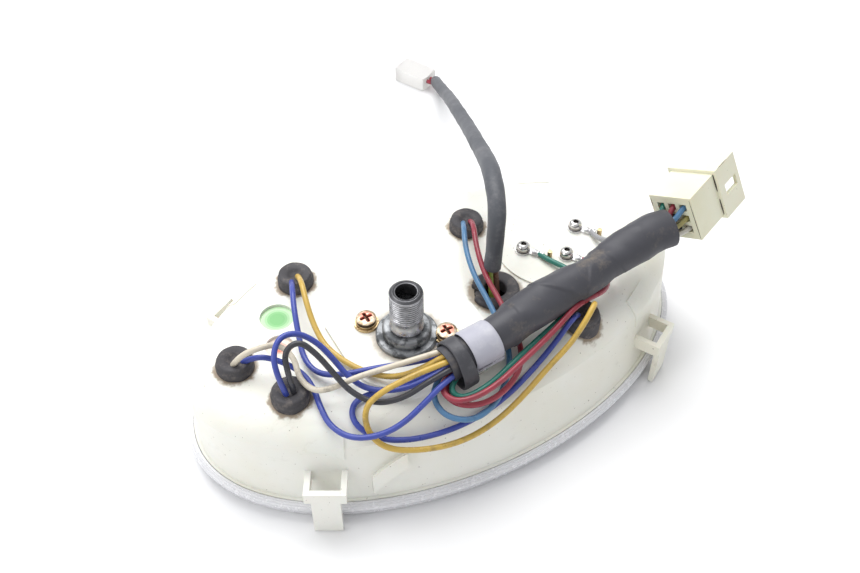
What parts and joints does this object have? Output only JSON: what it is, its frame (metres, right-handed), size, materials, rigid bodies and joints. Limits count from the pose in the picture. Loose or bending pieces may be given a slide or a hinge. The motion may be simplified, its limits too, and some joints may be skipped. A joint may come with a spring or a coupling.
{
  "type": "motorcycle instrument cluster",
  "caption": "Oval motorcycle instrument cluster lying on its lens: cream back housing, threaded speedometer cable fitting, fuel gauge, rubber bulb sockets, loose wires and plugs.",
  "frame": {"origin": "middle of the oval on the surface that the lens rests on", "axes": "+X along the oval's long axis towards the fuel gauge, +Y across it away from the harness, +Z from the lens towards the back of the housing"},
  "size_m": [0.2151, 0.2372, 0.0789],
  "materials": {
    "clear_lens": "clear acrylic lens, scuffed",
    "black_rubber": "dusty black rubber",
    "cream_plastic": "yellowed cream plastic with grime",
    "black_plastic": "matt black",
    "dial_black": "matt black paint",
    "green_plastic": "translucent green",
    "orange_plastic": "translucent orange",
    "dull_steel": "dull grey plated steel",
    "worn_steel": "worn bright steel",
    "brass_wash": "dull yellow plating",
    "magnet": "sintered magnet",
    "aluminium": "thin drawn aluminium",
    "needle_orange": "orange paint",
    "bulb_glass": "clear glass bulb",
    "sleeve": "wrinkled dark grey vinyl sleeve",
    "grey_clamp": "grey vinyl-coated metal band",
    "clear_nylon": "milky nylon",
    "wire_mixed": "mixed wire insulation",
    "wire_red": "red vinyl insulation",
    "wire_yellow": "yellow vinyl insulation",
    "wire_brown": "brown vinyl insulation",
    "wire_blue": "blue vinyl insulation",
    "wire_beige": "dirty beige vinyl insulation",
    "wire_black": "black vinyl insulation",
    "wire_light_blue": "light blue vinyl insulation",
    "wire_teal": "teal vinyl insulation",
    "wire_grey": "grey vinyl insulation"
  },
  "bodies": {
    "cluster": {"bulb_sockets": "black_rubber", "bulbs": "bulb_glass", "cable_fitting": "worn_steel", "clamp_band": "black_rubber", "connector_terminals": "brass_wash", "connector_wires": "wire_mixed", "dial_mask": "black_plastic", "dial_plate": "dial_black", "fitting_flange": "dull_steel", "fuel_gauge_body": "black_plastic", "fuel_gauge_pins": "worn_steel", "fuel_terminal_screws": "worn_steel", "green_filter": "green_plastic", "harness_clamp": "grey_clamp", "harness_sleeve": "sleeve", "lead_grommet": "black_rubber", "lead_wire_brown": "wire_brown", "lead_wire_green": "wire_yellow", "lens": "clear_lens", "lens_gasket": "black_rubber", "main_connector": "cream_plastic", "mounting_brackets": "cream_plastic", "odometer_axle": "worn_steel", "orange_filter": "orange_plastic", "rear_housing": "cream_plastic", "ring_terminals": "worn_steel", "side_connector": "clear_nylon", "side_connector_wires": "wire_red", "side_lead": "sleeve", "speedometer_frame": "worn_steel", "speedometer_screws": "worn_steel", "speedometer_washers": "brass_wash", "wire_beige": "wire_beige", "wire_black_arch": "wire_black", "wire_blue_arch": "wire_blue", "wire_blue_left": "wire_blue", "wire_blue_near": "wire_blue", "wire_blue_top_left": "wire_blue", "wire_grey_gauge": "wire_grey", "wire_light_blue_top": "wire_light_blue", "wire_red_gauge": "wire_red", "wire_red_top": "wire_red", "wire_teal": "wire_teal", "wire_yellow_near": "wire_yellow", "wire_yellow_top_left": "wire_yellow"},
    "drive": {"drive_shaft": "worn_steel", "drive_magnet": "magnet"},
    "speed_pointer": {"speed_cup": "aluminium", "speed_spindle": "worn_steel", "speed_needle": "needle_orange", "hairspring": "brass_wash"},
    "fuel_pointer": {"fuel_spindle": "worn_steel", "fuel_needle": "needle_orange"},
    "cross_shaft": {"odometer_cross_shaft": "brass_wash"},
    "odometer_row": {"odometer_drums": "dial_black", "odometer_gear": "cream_plastic"}
  },
  "joints": [
    {"name": "drive_spin", "type": "hinge", "parent": "cluster", "child": "drive", "pos_m": [-0.0215, -0.0145, 0.03], "axis": [0, 0, 1], "continuous": true},
    {"name": "speed_needle_turn", "type": "hinge", "parent": "cluster", "child": "speed_pointer", "pos_m": [-0.0215, -0.0145, 0.012], "axis": [0, 0, 1], "range_deg": [0, 240], "stiffness_Nm_per_rad": 0.00002},
    {"name": "fuel_needle_turn", "type": "hinge", "parent": "cluster", "child": "fuel_pointer", "pos_m": [0.0485, -0.0015, 0.012], "axis": [0, 0, 1], "range_deg": [0, 90]},
    {"name": "cross_shaft_spin", "type": "hinge", "parent": "cluster", "child": "cross_shaft", "pos_m": [-0.0139, -0.0145, 0.0247], "axis": [0, 1, 0], "continuous": true},
    {"name": "odometer_spin", "type": "hinge", "parent": "cluster", "child": "odometer_row", "pos_m": [-0.0215, 0.002, 0.0169], "axis": [1, 0, 0], "continuous": true}
  ],
  "couplings": [
    {"joint": "cross_shaft_spin", "follows": "drive_spin", "ratio": 0.05},
    {"joint": "odometer_spin", "follows": "drive_spin", "ratio": 0.0025}
  ]
}
